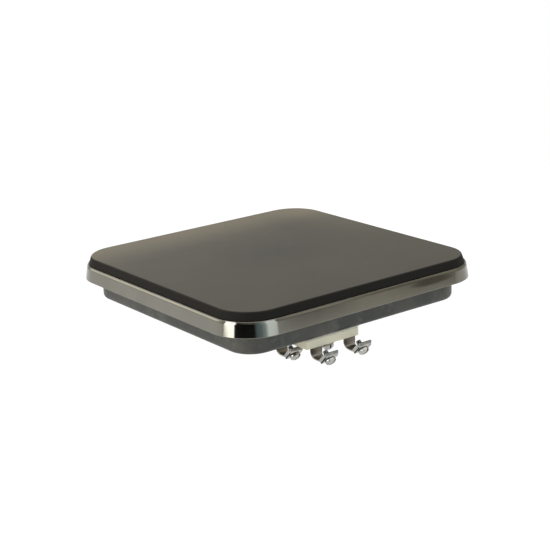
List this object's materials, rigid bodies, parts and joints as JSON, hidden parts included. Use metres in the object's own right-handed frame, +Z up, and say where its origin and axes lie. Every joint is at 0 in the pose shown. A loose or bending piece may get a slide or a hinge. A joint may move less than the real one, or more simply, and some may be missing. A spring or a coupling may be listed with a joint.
{
  "type": "hot plate burner",
  "caption": "Square sealed cast iron hob plate with a stainless overflow rim, a sheet steel bottom pan and screw terminals on a ceramic block below.",
  "frame": {"origin": "middle of the burner, in the plane where the rim's foot rests on the hob", "axes": "+Z up, square to the cooking surface; -Y towards the edge that carries the terminals; +X to the right seen from that edge"},
  "size_m": [0.2308, 0.2308, 0.055],
  "materials": {
    "cast_iron": "dark warm grey, turned top with a soft sheen, rough cast side",
    "rim_stainless": "polished stainless steel",
    "pan_steel": "satin dark grey coated sheet steel",
    "plated_steel": "bright zinc plated",
    "nickel": "nickel plated, darkened near the heat",
    "steatite": "unglazed cream steatite",
    "insulating_paste": "rough fired magnesia paste",
    "heating_wire": "oxidised resistance wire"
  },
  "bodies": {
    "burner": {"cooking_plate": "cast_iron", "overflow_rim": "rim_stainless", "bottom_pan": "pan_steel", "heating_coil_outer": "heating_wire", "insulating_paste_outer": "insulating_paste", "lead_bead_outer_start": "steatite", "lead_bead_outer_end": "steatite", "heating_coil_middle": "heating_wire", "insulating_paste_middle": "insulating_paste", "lead_bead_middle_start": "steatite", "lead_bead_middle_end": "steatite", "heating_coil_inner": "heating_wire", "insulating_paste_inner": "insulating_paste", "lead_bead_inner_start": "steatite", "lead_bead_inner_end": "steatite", "centre_stud": "plated_steel", "pan_washer": "plated_steel", "pan_nut": "plated_steel", "terminal_backing_plate": "plated_steel", "block_screw_1": "plated_steel", "block_screw_2": "plated_steel", "earth_stud": "plated_steel", "earth_washer": "plated_steel", "earth_nut": "plated_steel", "terminal_block": "steatite", "terminal_lug_1": "nickel", "terminal_lug_2": "nickel", "terminal_lug_3": "nickel", "terminal_lug_4": "nickel", "lead_outer": "nickel", "lead_middle": "nickel", "lead_inner": "nickel", "lead_common": "nickel"},
    "saddle_1": {"clamp_saddle_1": "plated_steel"},
    "screw_1": {"terminal_screw_1": "plated_steel"},
    "saddle_2": {"clamp_saddle_2": "plated_steel"},
    "screw_2": {"terminal_screw_2": "plated_steel"},
    "saddle_3": {"clamp_saddle_3": "plated_steel"},
    "screw_3": {"terminal_screw_3": "plated_steel"},
    "saddle_4": {"clamp_saddle_4": "plated_steel"},
    "screw_4": {"terminal_screw_4": "plated_steel"}
  },
  "joints": [
    {"name": "saddle_slide_1", "type": "slide", "parent": "burner", "child": "saddle_1", "axis": [0, -0.7071, -0.7071], "range_m": [0, 0.0021]},
    {"name": "screw_turn_1", "type": "hinge", "parent": "saddle_1", "child": "screw_1", "pos_m": [-0.0345, -0.10732, -0.03068], "axis": [0, -0.7071, -0.7071], "range_deg": [0, 1081]},
    {"name": "saddle_slide_2", "type": "slide", "parent": "burner", "child": "saddle_2", "axis": [0, -0.7071, -0.7071], "range_m": [0, 0.0021]},
    {"name": "screw_turn_2", "type": "hinge", "parent": "saddle_2", "child": "screw_2", "pos_m": [-0.0035, -0.10732, -0.03068], "axis": [0, -0.7071, -0.7071], "range_deg": [0, 1081]},
    {"name": "saddle_slide_3", "type": "slide", "parent": "burner", "child": "saddle_3", "axis": [0, -0.7071, -0.7071], "range_m": [0, 0.0021]},
    {"name": "screw_turn_3", "type": "hinge", "parent": "saddle_3", "child": "screw_3", "pos_m": [-0.0467, -0.08232, -0.03068], "axis": [0, -0.7071, -0.7071], "range_deg": [0, 1081]},
    {"name": "saddle_slide_4", "type": "slide", "parent": "burner", "child": "saddle_4", "axis": [0, -0.7071, -0.7071], "range_m": [0, 0.0021]},
    {"name": "screw_turn_4", "type": "hinge", "parent": "saddle_4", "child": "screw_4", "pos_m": [-0.0157, -0.08232, -0.03068], "axis": [0, -0.7071, -0.7071], "range_deg": [0, 1081]}
  ],
  "couplings": [
    {"joint": "screw_turn_1", "follows": "saddle_slide_1", "rad_per_m": 8976},
    {"joint": "screw_turn_2", "follows": "saddle_slide_2", "rad_per_m": 8976},
    {"joint": "screw_turn_3", "follows": "saddle_slide_3", "rad_per_m": 8976},
    {"joint": "screw_turn_4", "follows": "saddle_slide_4", "rad_per_m": 8976}
  ]
}
